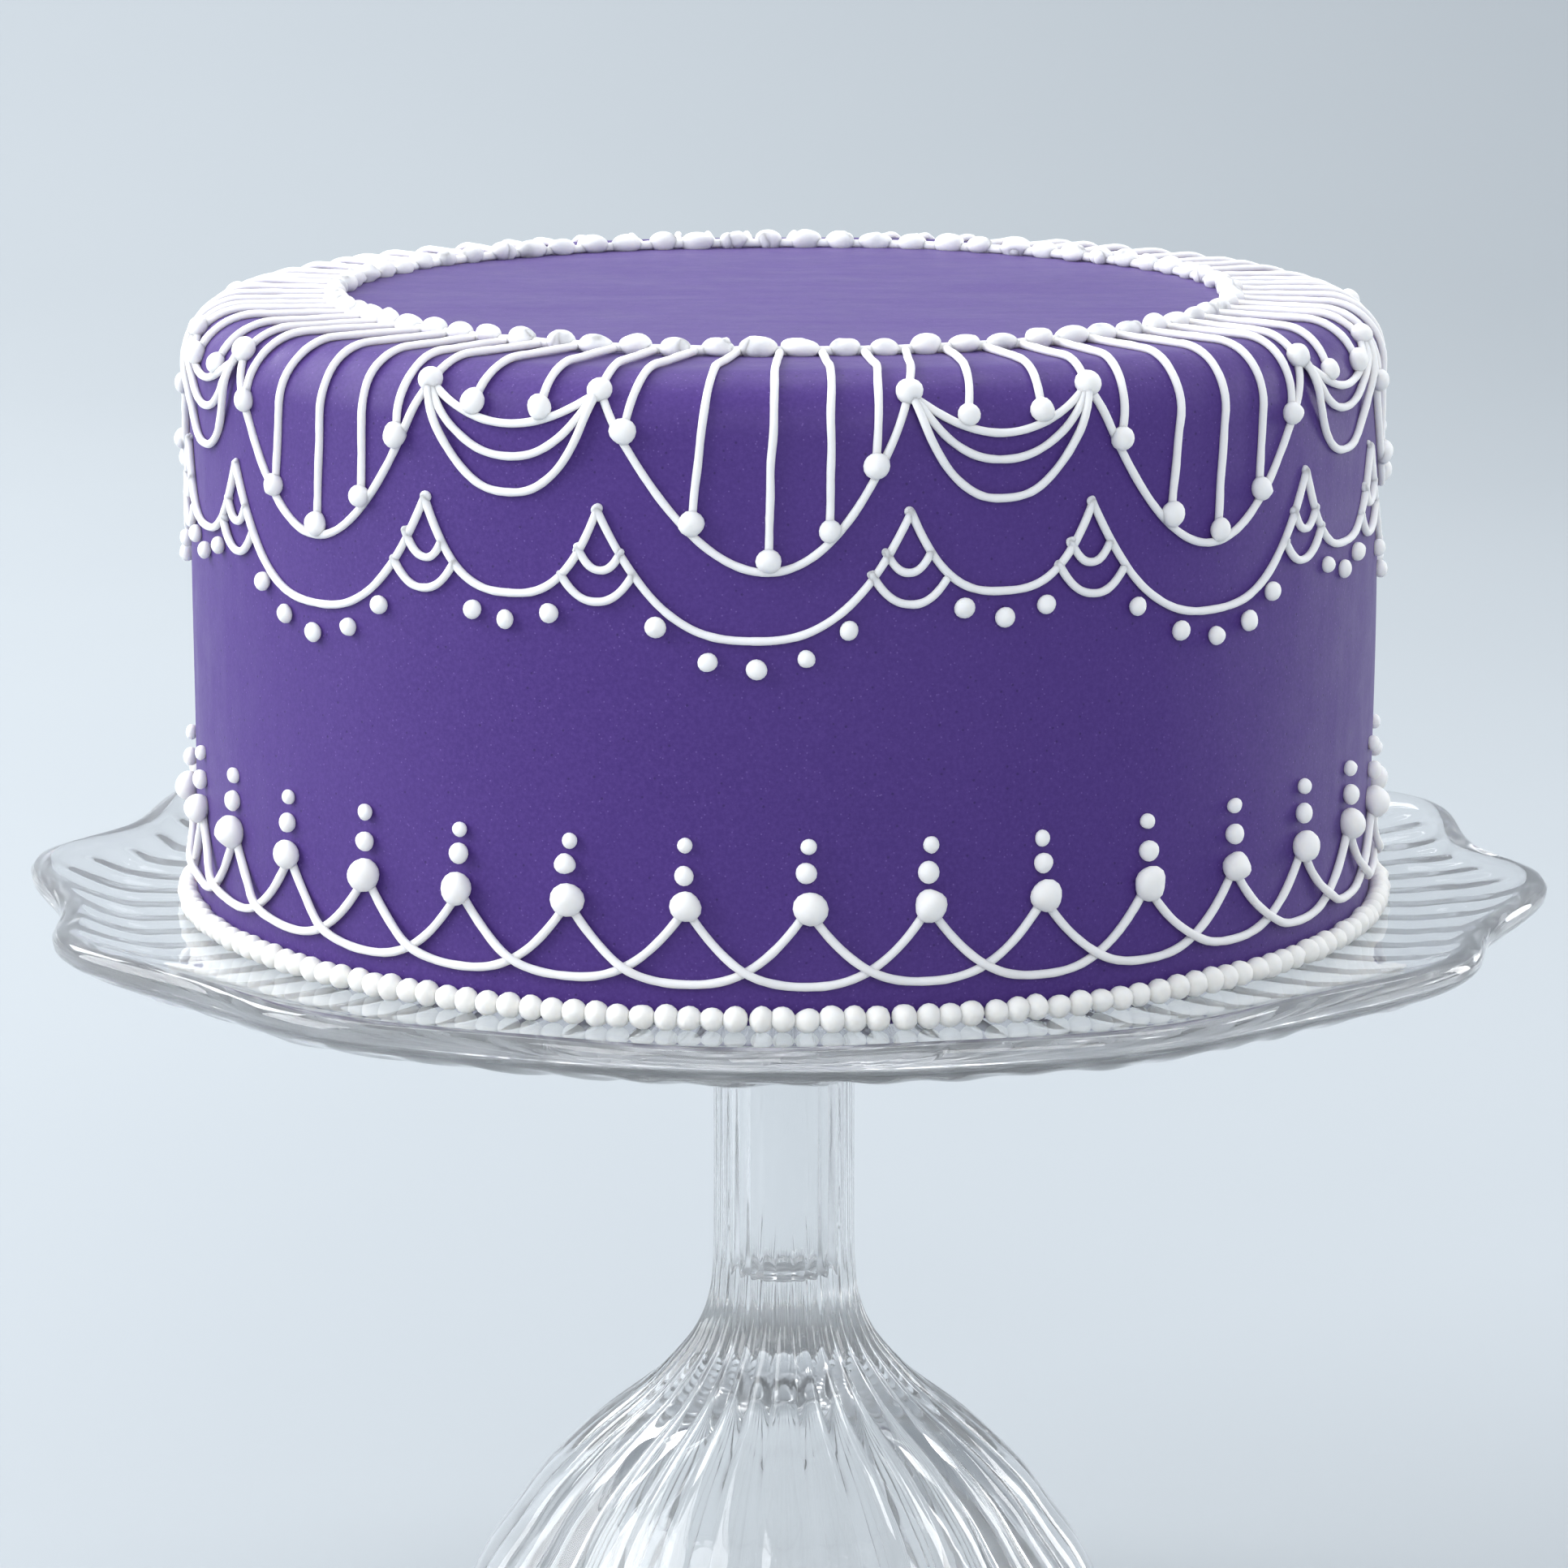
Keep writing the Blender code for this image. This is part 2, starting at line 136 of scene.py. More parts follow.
SWEEP = (  # Y and Z along the floor and up the wall
    (-9, 0), (-3, 0), (-0.6, 0), (0.5, 0), (1.3, 0), (2.0, 0.08), (2.5, 0.42), (2.7, 1.0), (2.75, 2.8),
)
SWEEP_SIDE = 9.0
BOUNCES = 32  # enough for the many walls of the glass


# Meshes from arrays


def polar(angle, radius, z):
    """Points round the stand's axis, for arrays or single values."""
    turn = np.radians(angle)
    return np.stack(np.broadcast_arrays(radius * np.sin(turn), -radius * np.cos(turn), z), axis=-1)


class Shell:
    """Collects closed surfaces into one mesh."""

    def __init__(self):
        self.points, self.faces, self.count = [], [], 0

    def add(self, points, faces):
        self.points.append(points)
        self.faces.append(faces + self.count)
        self.count += len(points)

    def grid(self, rows):
        """A closed surface through rows of points, each row a ring, with a point to close each end."""
        height, width = rows.shape[:2]
        index = np.arange(height * width).reshape(height, width)
        beside = np.roll(index, -1, axis=1)
        quads = np.stack([index[:-1], beside[:-1], beside[1:], index[1:]], axis=-1).reshape(-1, 4)
        first, last = height * width, height * width + 1
        points = np.vstack([rows.reshape(-1, 3), rows[0].mean(axis=0), rows[-1].mean(axis=0)])
        low = np.stack([beside[0], index[0], np.full(width, first), np.full(width, first)], axis=-1)
        high = np.stack([index[-1], beside[-1], np.full(width, last), np.full(width, last)], axis=-1)
        self.add(points, np.vstack([quads, low, high]))

    def build(self, name, look):
        points = np.vstack(self.points)
        faces = [list(dict.fromkeys(face)) for face in np.vstack(self.faces).tolist()]
        mesh = bpy.data.meshes.new(name)
        mesh.from_pydata(points.tolist(), [], faces)
        mesh.polygons.foreach_set("use_smooth", np.ones(len(mesh.polygons), dtype=bool))
        mesh.materials.append(look)
        made = bpy.data.objects.new(name, mesh)
        bpy.context.scene.collection.objects.link(made)
        return made


def place(piece, body, slot, *nodes):
    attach(piece, body)
    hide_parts(*nodes)
    return piece


def rounded(stops, step):
    """A smooth curve through stops of two or more numbers each, with points about `step` apart."""
    stops = np.array(stops, dtype=float)
    padded = np.vstack([2 * stops[0] - stops[1], stops, 2 * stops[-1] - stops[-2]])
    parts = []
    for i in range(len(stops) - 1):
        a, b, c, d = padded[i:i + 4]
        count = max(1, int(np.ceil(np.linalg.norm((c - b)[:2]) / step)))
        t = (np.arange(count) / count)[:, None]
        slope_b, slope_c = (c - a) / 2, (d - b) / 2
        reach = np.linalg.norm(c - b)
        slope_b *= min(1, reach / max(1e-9, np.linalg.norm(slope_b)))
        slope_c *= min(1, reach / max(1e-9, np.linalg.norm(slope_c)))
        parts.append(
            (2 * t**3 - 3 * t**2 + 1) * b + (t**3 - 2 * t**2 + t) * slope_b
            + (3 * t**2 - 2 * t**3) * c + (t**3 - t**2) * slope_c
        )
    return np.vstack(parts + [stops[-1:]])


def smooth_step(x, low, high):
    t = np.clip((x - low) / (high - low), 0, 1)
    return t * t * (3 - 2 * t)


# Node materials


class Look:
    """A Principled material with short calls for the nodes that drive it."""

    def __init__(self, name, **plain):
        self.material = bpy.data.materials.new(name)
        self.material.use_nodes = True
        self.tree = self.material.node_tree
        self.shader = self.tree.nodes["Principled BSDF"]
        self.place = self.node("ShaderNodeTexCoord").outputs["Object"]
        for key, value in plain.items():
            self.shader.inputs[key.replace("_", " ")].default_value = value

    def node(self, kind, **settings):
        made = self.tree.nodes.new(kind)
        for key, value in settings.items():
            setattr(made, key, value)
        return made

    def link(self, source, target):
        self.tree.links.new(source, target)

    def stretched(self, scale):
        mapping = self.node("ShaderNodeMapping")
        mapping.inputs["Scale"].default_value = scale
        self.link(self.place, mapping.inputs["Vector"])
        return mapping.outputs["Vector"]

    def noise(self, scale, detail=2.0, roughness=0.5, vector=None):
        made = self.node("ShaderNodeTexNoise")
        made.inputs["Scale"].default_value = scale
        made.inputs["Detail"].default_value = detail
        made.inputs["Roughness"].default_value = roughness
        self.link(vector or self.place, made.inputs["Vector"])
        return made.outputs["Fac"]

    def cells(self, scale):
        made = self.node("ShaderNodeTexVoronoi")
        made.inputs["Scale"].default_value = scale
        self.link(self.place, made.inputs["Vector"])
        return made.outputs["Distance"]

    def span(self, value, low, high, to_low=0.0, to_high=1.0):
        made = self.node("ShaderNodeMapRange")
        made.clamp = True
        for key, number in (("From Min", low), ("From Max", high), ("To Min", to_low), ("To Max", to_high)):
            made.inputs[key].default_value = number
        self.link(value, made.inputs["Value"])
        return made.outputs["Result"]

    def blend(self, share, first, second):
        made = self.node("ShaderNodeMix", data_type="RGBA")
        self.link(share, made.inputs["Factor"])
        for socket, colour in ((made.inputs[6], first), (made.inputs[7], second)):
            if isinstance(colour, tuple):
                socket.default_value = (*colour, 1)
            else:
                self.link(colour, socket)
        return made.outputs[2]

    def colour(self, value):
        self.link(value, self.shader.inputs["Base Color"])

    def rough(self, value):
        self.link(value, self.shader.inputs["Roughness"])

    def bumps(self, *layers):
        """Bump layers as (height, strength, distance), the broadest first."""
        below = None
        for height, strength, distance in layers:
            bump = self.node("ShaderNodeBump")
            bump.inputs["Strength"].default_value = strength
            bump.inputs["Distance"].default_value = distance
            self.link(height, bump.inputs["Height"])
            if below:
                self.link(below, bump.inputs["Normal"])
            below = bump.outputs["Normal"]
        self.link(below, self.shader.inputs["Normal"])


def glass_look():
    look = Look("clear_glass", Transmission_Weight=0.94, IOR=1.5, Roughness=0.02)
    look.colour(look.blend(look.noise(9), (0.999, 1.0, 1.0), (0.985, 0.993, 0.997)))
    look.bumps((look.noise(55, 1), 0.35, 0.3 * MM), (look.noise(240, 2), 0.12, 0.1 * MM))
    return look.material


def fondant_look():
    look = Look("rolled_fondant", Subsurface_Weight=0.12, Subsurface_Scale=0.8 * MM,
                Specular_IOR_Level=0.30, Sheen_Weight=0.08, Sheen_Roughness=0.4)
    look.shader.inputs["Subsurface Radius"].default_value = (1.0, 0.6, 1.6)
    broad = look.span(look.noise(14, 3, 0.55), 0.3, 0.7)
    base = look.blend(broad, (0.056, 0.022, 0.176), (0.067, 0.028, 0.196))
    fine = look.span(look.noise(1500, 3, 0.7), 0.4, 0.75)
    base = look.blend(fine, base, (0.084, 0.038, 0.226))
    specks = look.span(look.cells(900), 0.05, 0.16, 0.75, 0.0)
    base = look.blend(specks, base, (0.175, 0.105, 0.35))
    # Tiny pits, pressed in by the bump below, with painted shade in their darker colour
    shaded_pits = look.span(look.cells(430), 0.06, 0.12, 1.0, 0.0)
    look.colour(look.blend(shaded_pits, base, (0.040, 0.016, 0.125)))
    look.rough(look.span(look.noise(120, 4, 0.6), 0.3, 0.7, 0.47, 0.6))
    rolled = look.noise(16, 2, 0.5, look.stretched((1, 5, 1)))
    look.bumps(
        (rolled, 0.35, 1.2 * MM), (look.noise(420, 3, 0.6), 0.18, 0.25 * MM), (shaded_pits, 0.25, -0.1 * MM)
    )
    return look.material


def icing_look(name, warm):
    look = Look(name, Subsurface_Weight=0.5, Subsurface_Scale=2 * MM, Specular_IOR_Level=0.25)
    look.shader.inputs["Subsurface Radius"].default_value = (1.0, 0.9, 0.75)
    pale = (0.90, 0.89, 0.87 - warm)
    deep = (0.855, 0.84, 0.815 - warm)
    look.colour(look.blend(look.span(look.noise(260, 4, 0.6), 0.35, 0.75), pale, deep))
    look.rough(look.span(look.noise(500, 2), 0.3, 0.7, 0.62, 0.78))
    look.bumps((look.noise(620, 3, 0.6), 0.35, 0.16 * MM), (look.noise(2400, 2), 0.35, 0.05 * MM))
    return look.material


def board_look():
    """Embossed silver paper on the cake board."""
    look = Look("foil_board", Metallic=0.75)
    weave = look.cells(330)
    look.colour(look.blend(look.noise(60, 3), (0.78, 0.79, 0.80), (0.66, 0.67, 0.69)))
    look.rough(look.span(look.noise(200, 2), 0.3, 0.7, 0.28, 0.42))
    look.bumps((look.noise(35, 2), 0.2, 0.3 * MM), (weave, 0.5, 0.15 * MM))
    return look.material


def sponge_look():
    look = Look("sponge", Roughness=0.92, Subsurface_Weight=0.15, Subsurface_Scale=2 * MM)
    # Holes in the crumb, pressed in by the bump below, with painted shade in their darker brown
    shaded_holes = look.span(look.cells(260), 0.1, 0.45)
    crumb = look.blend(look.noise(90, 4), (0.80, 0.60, 0.30), (0.88, 0.72, 0.42))
    look.colour(look.blend(shaded_holes, (0.55, 0.36, 0.15), crumb))
    look.bumps((look.noise(120, 4, 0.7), 0.6, 0.8 * MM), (shaded_holes, 0.7, 0.6 * MM))
    return look.material


def cream_look():
    look = Look("buttercream", Subsurface_Weight=0.25, Subsurface_Scale=2 * MM)
    look.colour(look.blend(look.noise(45, 3), (0.93, 0.87, 0.70), (0.90, 0.82, 0.62)))
    look.rough(look.span(look.noise(90, 2), 0.3, 0.7, 0.38, 0.55))
    spread = look.noise(30, 3, 0.5, look.stretched((1, 1, 6)))
    look.bumps((spread, 0.4, 0.8 * MM), (look.noise(600, 2), 0.2, 0.1 * MM))
    return look.material


# Glass stand


def lobe_share(radius):
    return np.clip((radius - ROUND_RADIUS) / (RIM_RADIUS - ROUND_RADIUS), 0, None) ** 1.25


def glass_plate(glass):
    """Round well, lobed rim that rolls up and over, and radial ribs under the well."""
    rim = RIM_RADIUS / MM
    well = [(6, 0), (60, 0), (106, 0), (113, 0.12), (118.5, 0.75), (123.5, 1.9), (rim - 2.8, 3.3)]
    lip = [(rim - 0.8, 3.82), (rim + 0.7, 3.35), (rim + 1.5, 2.1), (rim + 1.3, 0.5), (rim - 0.2, -1.2)]
    under = [(127, -2.9), (122, -4.5), (117, -5.4), (112, -5.9), (60, -6), (24, -6.1), (17, -6.9)]
    boss = [(15.5, -7), (6, -7)]
    profile = rounded([(r * MM, z * MM) for r, z in well + lip + under + boss], PLATE_STEP)
    angles = np.arange(0, 360, 360 / (RIBS * 10))
    radius, z = profile[:, :1], profile[:, 1:]
    crest = np.cos(np.radians(LOBES * (angles - LOBE_ANGLE)))
    share = lobe_share(radius)
    ribbed = smooth_step(radius, 22 * MM, 32 * MM) * (1 - smooth_step(radius, 116 * MM, 122 * MM))
    ribbed = ribbed * smooth_step(-z, 3.5 * MM, 5.5 * MM)
    rib = 0.5 - 0.5 * np.abs(np.cos(np.radians(RIBS / 2 * angles)))
    outer_band = smooth_step(radius, 113 * MM, 119 * MM) * (1 - smooth_step(radius, 126 * MM, 130 * MM))
    outer_band = outer_band * smooth_step(-z, 1 * MM, 3 * MM)
    swirl = np.radians(RIBS * angles) + (radius - 113 * MM) * 260
    hooks = np.sin(swirl) + 0.6 * np.sin(np.radians(23 * angles) + 1 + radius * 400)
    shell = Shell()
    rows = polar(
        angles,
        radius + LOBE_DEPTH * share * crest,
        PLATE_TOP + z + share * 0.5 * MM * crest - 1.3 * RIB_DEPTH * ribbed * (rib - 0.25)
        + HOOK_DEPTH * outer_band * hooks,
    )
    shell.grid(rows[::-1])
    return place(shell.build("glass_plate", glass), "stand", "glass", "stand_plate")


def glass_pedestal(glass):
    """Fluted stem with a blind bore from above, and a fluted bell foot hollow below."""
    bore = [(3, 71), (6, 70.8), (7.8, 69.3), (8.2, 66), (8.2, 30), (8.2, 7.8), (8.6, 7.3)]
    stem = [(12.1, 7.3), (12.6, 7.8), (12.6, 30), (12.6, 66), (12.85, 72.5), (13.5, 76), (14.9, 80)]
    bell = [(17.3, 84.2), (23.9, 91.6), (35, 100.6), (43.3, 108.8), (48.6, 116.2), (53.5, 123.1)]
    foot = [(58.6, 133.5), (62.2, 143), (64.2, 150), (65, 153.2), (64.6, 154.6), (63.4, 155)]
    inside = [(60.6, 155), (59.6, 154.2), (57, 144.5), (53.4, 134.5), (48.9, 126), (39.3, 111.9)]
    dome = [(31.7, 104.4), (26, 99.4), (20.5, 95.6), (14, 92.2), (8, 90.6), (3, 90.3)]
    outer_rows = len(rounded([(r * MM, d * MM) for r, d in bore + stem + bell + foot], PEDESTAL_STEP))
    stops = [(r * MM, d * MM) for r, d in bore + stem + bell + foot + inside + dome]
    profile = rounded(stops, PEDESTAL_STEP)
    radius, depth = profile[:, :1], np.minimum(profile[:, 1:], FOOT_DEPTH)
    outside = (np.arange(len(profile)) < outer_rows)[:, None] & (radius > 10 * MM)
    share = FLUTE_SHARE * outside * (1 - smooth_step(depth, 147 * MM, 152 * MM))
    neck = smooth_step(depth, 62 * MM, 76 * MM) * (1 - smooth_step(depth, 88 * MM, 110 * MM))
    share = share * (0.55 + 0.45 * smooth_step(depth, 25 * MM, 80 * MM) + 0.8 * neck)
    angles = np.arange(0, 360, 360 / (FLUTES * 12))
    flute = np.abs(np.cos(np.radians(FLUTES / 2 * angles))) - 0.55
    shell = Shell()
    rows = polar(angles, radius * (1 + share * flute), PLATE_TOP - depth)
    shell.grid(rows[::-1])
    return place(shell.build("glass_pedestal", glass), "stand", "glass", "stand_pedestal")


# Cake


def cake_cover(fondant):
    """Rolled fondant over the cake: rounded shoulder, faintly uneven wall and a turned-in lower edge."""
    radius, top = CAKE_RADIUS, CAKE_TOP
    turns = np.radians(np.linspace(90, 0, 13))
    crown = [(3 * MM, top)] + [(r * MM, top) for r in range(12, 94, 8)]
    edge = [(radius - EDGE_RADIUS + EDGE_RADIUS * math.cos(t), WALL_TOP + EDGE_RADIUS * math.sin(t))
            for t in turns]
    wall = [(radius, z) for z in np.linspace(WALL_TOP - 6 * MM, 3 * MM, 16)]
    foot = [(radius - 0.3 * MM, 0.9 * MM), (radius - 1.2 * MM, 0.35 * MM)]
    inner = radius - FONDANT
    inside = [(inner, 0.35 * MM), (inner, 0.9 * MM), (inner, WALL_TOP - FONDANT)]
    lid = [(inner - 2 * MM, WALL_TOP), (inner - 6 * MM, top - FONDANT), (3 * MM, top - FONDANT)]
    profile = np.array(crown + edge + wall + foot + inside + lid)
    angles = np.arange(0, 360, 1.25)
    around = np.radians(angles)
    r, z = profile[:, :1], profile[:, 1:]
    outer = (np.arange(len(profile)) < len(crown + edge + wall))[:, None]
    swell = 0.16 * np.sin(3 * around + 0.7) * np.cos(z * 45) + 0.1 * np.sin(7 * around + z * 90)
    ripple = 0.12 * np.sin(5 * around) * np.sin(r * 95) + 0.08 * np.sin(9 * around + 1.3)
    on_top = smooth_step(z, WALL_TOP, top) * smooth_step(r, 5 * MM, 40 * MM)
    shell = Shell()
    rows = polar(
        angles, r + outer * (1 - on_top) * swell * MM, PLATE_TOP + z + outer * on_top * (ripple - 0.1) * MM
    )
    shell.grid(rows[::-1])
    return place(shell.build("fondant_skin", fondant), "cake", "fondant", "fondant_cover")


def cake_board(look):
    low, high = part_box("cake_board")
    radius, bottom, top = high[0], low[2], high[2]
    edge = 0.7 * MM
    stops = [(4 * MM, bottom), (radius * 0.5, bottom), (radius - 2 * edge, bottom), (radius - edge, bottom),
             (radius, bottom + edge), (radius, top - edge), (radius - edge, top), (radius * 0.5, top),
             (4 * MM, top)]
    profile = rounded(stops, 2 * MM)
    shell = Shell()
    shell.grid(polar(np.arange(0, 360, 2.5), profile[:, :1], profile[:, 1:]))
    return place(shell.build("foil_cake_board", look), "cake", "board", "cake_board")


def inner_layers(sponge, cream):
    """The layers under the fondant keep their CAD shapes and take finished materials."""
    for name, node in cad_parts.items():
        if name.startswith("sponge_layer"):
            node.data.materials.clear()
            node.data.materials.append(sponge)
        if name.startswith("filling_layer") or name == "buttercream_coat":
            node.data.materials.clear()
            node.data.materials.append(cream)


# Piping


def skin(angle, travel, away=0.0):
    """Points `away` from the cake's skin, and the normals there."""
    turn = np.clip((travel - WALL_TOP) / EDGE_RADIUS, 0, math.pi / 2)
    inward = np.clip(travel - WALL_TOP - ARC, 0, None)
    height = np.minimum(travel, WALL_TOP)
    out = EDGE_RADIUS + away
    radius = CAKE_RADIUS - EDGE_RADIUS - inward + out * np.cos(turn)
    points = polar(angle, radius, PLATE_TOP + height + out * np.sin(turn))
    return points, polar(angle, np.cos(turn), np.sin(turn))


def waver(count, spacing, reach):
    """A slow random waver along a string, in shares of 1, with features about `reach` long."""
    place_along = np.arange(count) * spacing / reach
    phases = rng.uniform(0, 2 * math.pi, 3)
    return sum(np.sin(place_along * k * 2.1 + phase) / k for k, phase in zip((1, 2, 3), phases)) / 1.8


def pipe(shell, angle, travel, width=STRING, lift=0.0, loose=0.0):
    """A piped string along arrays of angle and travel, its ends rounded and its width a little uneven."""
    angle, travel = np.asarray(angle, float), np.asarray(travel, float)
    count = len(angle)
    span = np.hypot(np.diff(np.radians(angle)) * CAKE_RADIUS, np.diff(travel))
    spacing = span.mean()
    sway = loose * waver(count, spacing, 9 * MM) * np.sin(np.linspace(0, math.pi, count))
    angle = angle + np.degrees(sway / CAKE_RADIUS)
    half = width / 2 * (1 + 0.045 * waver(count, spacing, 3.2 * MM) + 0.008 * rng.standard_normal(count))
    centre, normal = skin(angle, travel, lift + half * 0.86)
    along = np.gradient(centre, axis=0)
    along /= np.linalg.norm(along, axis=1, keepdims=True)
    side = np.cross(along, normal)
    side /= np.linalg.norm(side, axis=1, keepdims=True)
    up = np.cross(side, along)
    ends = np.array([0.35, 0.78])
    reach = np.array([0.95, 0.6])
    first = [centre[0] - along[0] * half[0] * r for r in reach]
    last = [centre[-1] + along[-1] * half[-1] * r for r in reach[::-1]]
    centre = np.vstack([first, centre, last])
    half = np.concatenate([half[0] * ends, half, half[-1] * ends[::-1]])
    side = np.vstack([side[:1], side[:1], side, side[-1:], side[-1:]])
    up = np.vstack([up[:1], up[:1], up, up[-1:], up[-1:]])
    turns = 2 * math.pi * np.arange(PIPE_SIDES) / PIPE_SIDES
    ring = np.cos(turns)[None, :, None] * side[:, None] + np.sin(turns)[None, :, None] * up[:, None]
    shell.grid(centre[:, None] + half[:, None, None] * ring)


def ball_directions(rings, segments):
    tilt = np.pi * (np.arange(rings) + 0.5) / rings
    turn = 2 * np.pi * np.arange(segments) / segments
    tilt, turn = np.meshgrid(tilt, turn, indexing="ij")
    return np.stack([np.sin(tilt) * np.cos(turn), np.sin(tilt) * np.sin(turn), np.cos(tilt)], axis=-1)


BALL = ball_directions(12, 16)


def blob(shell, angle, travel, size, lump=0.03, peak=0.5, away=0.33, turn=0.0):
    """A bead of icing: `size` is (along the skin sideways, up the skin, proud of it)."""
    centre, normal = skin(angle, travel, size[2] * away)
    sideways = polar(angle + 90, 1.0, 0.0)
    upwards = np.cross(normal, sideways)
    cos_t, sin_t = math.cos(turn), math.sin(turn)
    axes = np.stack([cos_t * sideways + sin_t * upwards, cos_t * upwards - sin_t * sideways, normal])
    waves = rng.normal(0, 1.6, (4, 3))
    phases = rng.uniform(0, 2 * math.pi, 4)
    swell = 1 + lump * sum(np.sin(BALL @ wave + phase) for wave, phase in zip(waves, phases))
    if rng.random() < peak:
        tip = np.append(rng.normal(0, 0.45, 2), 1.0)
        tip /= np.linalg.norm(tip)
        near = 1 - BALL @ tip
        swell += rng.uniform(0.05, 0.16) * np.exp(-near / 0.03)
    half = np.array(size) / 2
    shell.grid(centre + (BALL * half * swell[..., None]) @ axes)


def bead(shell, angle, travel, size, **more):
    size = size * rng.uniform(0.95, 1.05)
    width, height = size * rng.uniform(0.95, 1.05, 2)
    blob(shell, angle, travel, (width, height, size * 0.8), **more)


def garland_mark(angle):
    """Where the mark for an even angle fell: a little off, and unevenly so round the cake."""
    return angle - 2.7 - 0.3 * np.sin(np.radians(angle))


def lattice_mark(angle):
    return angle + 2.1 - 2.4 * np.sin(np.radians(angle))


def sag(share, low, high, power=2.0):
    """Height of a swag at a share (-1 to 1) of its half span. A higher power gives a rounder U."""
    return low + (high - low) * np.abs(share) ** power


def shares(half, low, high, step=0.9 * MM):
    """Shares from -1 to 1 fine enough for a swag of this half span in degrees."""
    reach = math.radians(half) * CAKE_RADIUS
    return np.linspace(-1, 1, max(8, int(2 * (reach + (high - low) * 0.8) / step)))


def ring_neck(number):
    return RING_PHASE + 360 / RING_BEADS * number


def drop(shell, number, angle, end):
    """A string from between two beads of the top ring, over the edge, to a bead on the garland."""
    start = WALL_TOP + ARC + CAKE_RADIUS - EDGE_RADIUS - RING_RADIUS
    travel = np.linspace(start, end, max(8, int((start - end) / (1.1 * MM))))
    share = (start - travel) / (start - end)
    pipe(shell, ring_neck(number) + (angle - ring_neck(number)) * share, travel, loose=0.25 * MM)


def garland(index, icing):
    """One repeat: a deep swag, the triple swag to its right, and the strings and beads on both."""
    shell = Shell()
    centre = 360 / REPEATS * index
    left, right = garland_mark(centre - DEEP_HALF), garland_mark(centre + DEEP_HALF)
    following = garland_mark(centre + 360 / REPEATS - DEEP_HALF)
    top = JUNCTION_TRAVEL
    first = RING_BEADS // REPEATS * index - 3
    low = DEEP_LOW + rng.normal(0, 0.8) * MM
    u = shares(DEEP_HALF, low, top)
    middle, half = (left + right) / 2, (right - left) / 2
    skew = 1.2 if index == 0 else rng.normal(0.4, 0.5)
    pipe(shell, middle + half * u + skew * (1 - u**2), sag(u, low, top))
    offsets = np.array(FRONT_STRINGS if index == 0 else OTHER_STRINGS) + rng.normal(0, 0.2, 5)
    for number, offset in enumerate(offsets):
        share = offset / DEEP_HALF
        share -= skew / DEEP_HALF * (1 - share**2)
        end = sag(share, low, top) + BEAD_RISE
        angle = middle + offset
        drop(shell, first + number + 1, angle, end)
        bead(shell, angle, end, STRING_BEAD)
    drop(shell, first, left, top)
    drop(shell, first + 6, right, top)
    bead(shell, left, top, JUNCTION_BEAD)
    bead(shell, right, top, JUNCTION_BEAD)

    middle, half = (right + following) / 2, (following - right) / 2
    for number, (line, power) in enumerate(TRIPLE_SWAGS):
        line += rng.normal(0, 0.4) * MM
        u = shares(TRIPLE_HALF, line, top)
        climb = number * 0.5 * MM * smooth_step(np.abs(u), 0.5, 0.95)
        pipe(shell, middle + half * u, sag(u, line, top, power), lift=climb, loose=0.15 * MM)
        if number == 0:
            for count, offset in enumerate(TRIPLE_STRINGS):
                offset += rng.normal(0, 0.25)
                end = sag(offset / half, line, top) + BEAD_RISE
                drop(shell, first + 7 + count, middle + offset, end)
                bead(shell, middle + offset, end, TRIPLE_BEAD)
    nodes = [f"{kind}_{index + 1}" for kind in ("garland", "middle_swag", "lower_swag")]
    return place(shell.build(f"piped_garland_{index + 1}", icing), "cake", "icing", *nodes)


def scallop(index, icing):
    """One repeat of the line below: a wide and a narrow scallop, loops in the peak, and dots."""
    shell = Shell()
    centre = 360 / REPEATS * index
    left, right = garland_mark(centre - DEEP_HALF), garland_mark(centre + DEEP_HALF)
    following = garland_mark(centre + 360 / REPEATS - DEEP_HALF)
    for start, end, low, power, dots in (
        (left, right, WIDE_LOW, WIDE_POWER, WIDE_DOTS),
        (right, following, NARROW_LOW, NARROW_POWER, NARROW_DOTS),
    ):
        middle, half = (start + end) / 2, (end - start) / 2
        low += rng.normal(0, 0.5) * MM
        u = shares(half, low, PEAK, 0.7 * MM)
        pipe(shell, middle + half * u, sag(u, low, PEAK, power), loose=0.15 * MM)
        for offset in dots:
            offset += rng.normal(0, 0.25)
            height = sag(offset / half, low, PEAK, power) - (DOT_DROP + rng.normal(0, 0.35) * MM)
            bead(shell, middle + offset, height, DOT * rng.uniform(0.93, 1.06))
    for peak in (left, right):
        bead(shell, peak, PEAK + 0.1 * MM, PEAK_BEAD, lump=0.14, peak=0.7)
        for half, ends, low in PEAK_LOOPS:
            u = shares(half, low, ends, 0.6 * MM)
            lean = rng.normal(0, 0.1)
            tilt = rng.normal(0, 0.35) * MM
            pipe(shell, peak + half * u + lean, sag(u, low, ends, 2.3) + tilt * u, lift=0.1 * MM)
            bead(shell, peak - half + lean, ends - tilt, LOOP_BEAD, lump=0.12)
    return place(shell.build(f"piped_scallop_{index + 1}", icing), "cake", "icing", f"scallop_{index + 1}")


